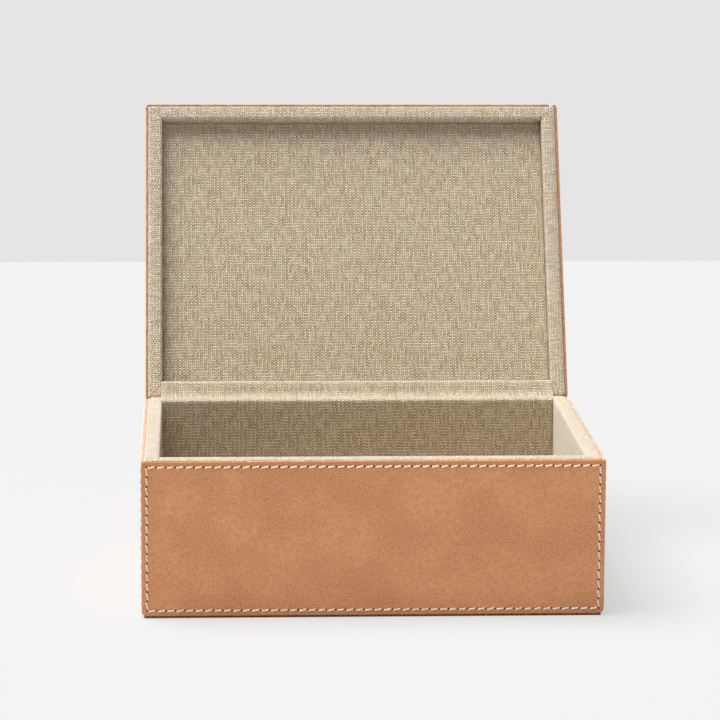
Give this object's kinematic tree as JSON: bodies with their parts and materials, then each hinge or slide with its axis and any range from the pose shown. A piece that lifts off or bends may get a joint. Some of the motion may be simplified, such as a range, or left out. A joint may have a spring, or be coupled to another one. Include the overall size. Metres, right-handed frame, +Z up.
{
  "type": "stationery box",
  "caption": "Rectangular hinged box for papers: linen-wrapped board walls faced with stitched leather panels, and a shallow recessed lid that leans back on a cloth hinge.",
  "frame": {"origin": "centre of the underside, on the surface that the box stands on", "axes": "+X along the width, +Y from the front to the hinge side, +Z up"},
  "size_m": [0.254, 0.291, 0.2552],
  "materials": {
    "leather": "vegetable-tanned, matt, with soft cloudy variation",
    "linen": "natural plain-weave linen, glued over board",
    "board": "plain fibreboard, hidden under the linen"
  },
  "bodies": {
    "base": {"base_front_board": "board", "base_back_board": "board", "base_left_board": "board", "base_right_board": "board", "base_bottom_board": "board", "base_underside_cover": "linen", "base_floor_lining": "linen", "base_front_linen": "linen", "base_back_linen": "linen", "base_left_linen": "linen", "base_right_linen": "linen", "base_front_leather": "leather", "base_back_leather": "leather", "base_left_leather": "leather", "base_right_leather": "leather", "leather_hinge": "leather", "linen_hinge": "linen"},
    "lid": {"lid_top_board": "board", "lid_front_rail": "board", "lid_back_rail": "board", "lid_left_rail": "board", "lid_right_rail": "board", "lid_front_linen": "linen", "lid_back_linen": "linen", "lid_left_linen": "linen", "lid_right_linen": "linen", "lid_lining": "linen", "lid_front_leather": "leather", "lid_back_leather": "leather", "lid_left_leather": "leather", "lid_right_leather": "leather", "lid_top_leather": "leather"}
  },
  "joints": [
    {"name": "lid_hinge", "type": "hinge", "parent": "base", "child": "lid", "pos_m": [0, 0.09525, 0.0875], "axis": [1, 0, 0], "range_deg": [0, 117.5], "deforming": ["leather_hinge", "linen_hinge"]}
  ]
}
